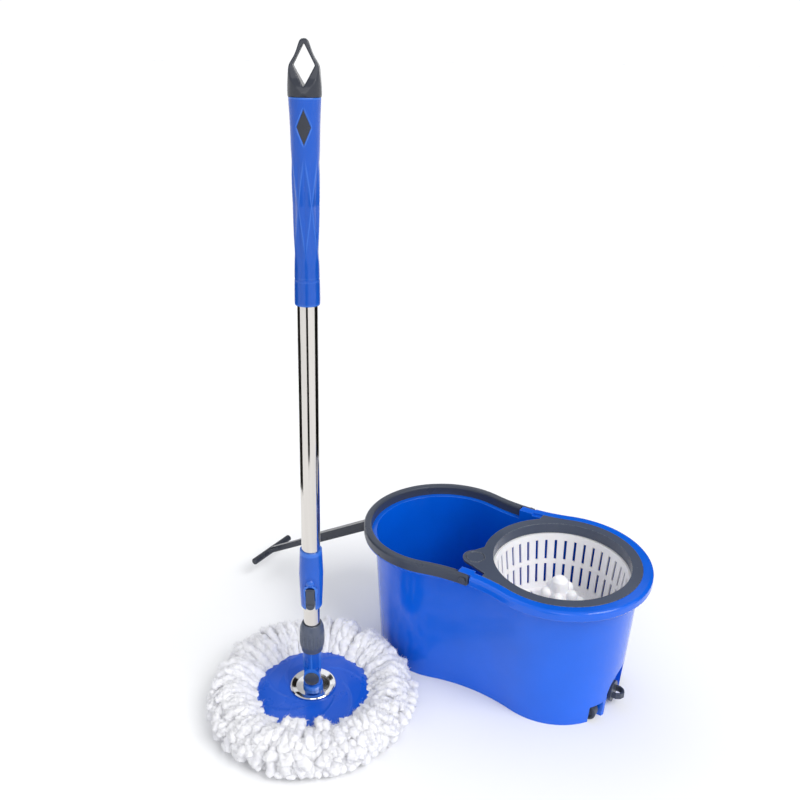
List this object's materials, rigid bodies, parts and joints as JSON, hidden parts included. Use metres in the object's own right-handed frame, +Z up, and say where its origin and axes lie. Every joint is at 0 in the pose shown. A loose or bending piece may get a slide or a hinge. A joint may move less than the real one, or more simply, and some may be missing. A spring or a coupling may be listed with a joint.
{
  "type": "spin mop and wringer bucket",
  "caption": "Spin mop with a telescopic push-to-spin handle and round microfibre head, beside a two-lobe bucket with a slotted wringing basket, carry handle and pull bar.",
  "frame": {"origin": "centre of the bucket's flat base, midway between its two lobes, on the floor", "axes": "+X along the bucket's long axis towards the basket lobe, +Y to the side away from the mop, +Z up"},
  "size_m": [0.6904, 0.5267, 0.9013],
  "materials": {
    "blue": "glossy moulded polypropylene",
    "slate": "satin moulded plastic",
    "white": "moulded plastic",
    "steel": "polished stainless steel",
    "pin_steel": "turned steel",
    "fibre": "chenille microfibre",
    "seal": "soft rubber"
  },
  "bodies": {
    "bucket": {"bucket_body": "blue", "handle_pin_near": "slate", "handle_pin_far": "slate", "spindle": "pin_steel", "spindle_post": "slate", "bar_bracket": "slate", "bar_pin": "pin_steel", "axle_near": "pin_steel", "axle_far": "pin_steel"},
    "carry_handle": {"carry_handle": "slate"},
    "basket_plate": {"basket_plate": "slate"},
    "basket": {"basket": "white", "hub_bush": "slate"},
    "drain_plug": {"drain_plug": "slate", "plug_seal": "seal"},
    "wheel_near": {"wheel_near": "slate"},
    "wheel_far": {"wheel_far": "slate"},
    "pull_sleeve": {"pull_sleeve": "slate"},
    "pull_rod": {"pull_rod": "slate"},
    "mop_head": {"fibre_head": "fibre", "clip_ring": "white", "mop_disc": "blue", "dish_ring": "steel", "swivel_base": "blue", "disc_screw": "pin_steel"},
    "lower_pole": {"connector": "blue", "swivel_pin": "slate", "inner_tube": "steel", "ratchet_housing": "white", "ratchet_spring": "pin_steel", "ratchet_ring": "white", "drive_nut": "white", "top_bush": "white"},
    "coupling_nut": {"coupling_nut": "slate"},
    "guide_bush": {"guide_bush": "white"},
    "upper_pole": {"outer_tube": "steel", "rod_plug": "white", "rod_pin": "pin_steel", "twisted_rod": "pin_steel", "grip": "blue", "grip_inset": "slate", "hang_cap": "slate", "lock_sleeve": "blue", "lever_pin": "pin_steel"},
    "lock_lever": {"lock_lever": "slate"}
  },
  "joints": [
    {"name": "handle_swing", "type": "hinge", "parent": "bucket", "child": "carry_handle", "pos_m": [-0.003, 0, 0.2057], "axis": [0, 1, 0], "range_deg": [0, 90]},
    {"name": "plate_lift", "type": "slide", "parent": "bucket", "child": "basket_plate", "axis": [0, 0, 1], "range_m": [0, 0.15]},
    {"name": "basket_spin", "type": "hinge", "parent": "basket_plate", "child": "basket", "pos_m": [0.097, 0, 0.15], "axis": [0, 0, 1], "continuous": true},
    {"name": "plug_pull", "type": "slide", "parent": "bucket", "child": "drain_plug", "axis": [1, 0, 0], "range_m": [0, 0.03]},
    {"name": "wheel_near_roll", "type": "hinge", "parent": "bucket", "child": "wheel_near", "pos_m": [0.174, -0.048, 0.0126], "axis": [0, 1, 0], "continuous": true},
    {"name": "wheel_far_roll", "type": "hinge", "parent": "bucket", "child": "wheel_far", "pos_m": [0.174, 0.048, 0.0126], "axis": [0, 1, 0], "continuous": true},
    {"name": "bar_swing", "type": "hinge", "parent": "bucket", "child": "pull_sleeve", "pos_m": [-0.216, 0, 0.1756], "axis": [0, 1, 0], "range_deg": [-6, 75]},
    {"name": "rod_slide", "type": "slide", "parent": "pull_sleeve", "child": "pull_rod", "axis": [-0.8678, 0, -0.497], "range_m": [-0.08, 0]},
    {"name": "mop_lift", "type": "slide", "parent": "bucket", "child": "mop_head", "axis": [-0.178, -0.573, 0.8], "range_m": [0, 0.45]},
    {"name": "head_swivel", "type": "hinge", "parent": "mop_head", "child": "lower_pole", "pos_m": [-0.168, -0.249, 0.066], "axis": [-0.5402, 0.8415, 0], "range_deg": [-80, 25]},
    {"name": "nut_turn", "type": "hinge", "parent": "lower_pole", "child": "coupling_nut", "pos_m": [-0.16642, -0.24799, 0.13097], "axis": [0.0242, 0.0156, 0.9996], "range_deg": [0, 270]},
    {"name": "handle_slide", "type": "slide", "parent": "lower_pole", "child": "guide_bush", "axis": [0.0242, 0.0156, 0.9996], "range_m": [0, 0.3]},
    {"name": "handle_turn", "type": "hinge", "parent": "guide_bush", "child": "upper_pole", "pos_m": [-0.16315, -0.24589, 0.26592], "axis": [0.0242, 0.0156, 0.9996], "range_deg": [-2, 1082]},
    {"name": "lever_open", "type": "hinge", "parent": "upper_pole", "child": "lock_lever", "pos_m": [-0.15608, -0.25953, 0.21694], "axis": [-0.8412, -0.54, 0.0288], "range_deg": [0, 70]}
  ],
  "couplings": [
    {"joint": "handle_turn", "follows": "handle_slide", "rad_per_m": 62.832}
  ]
}
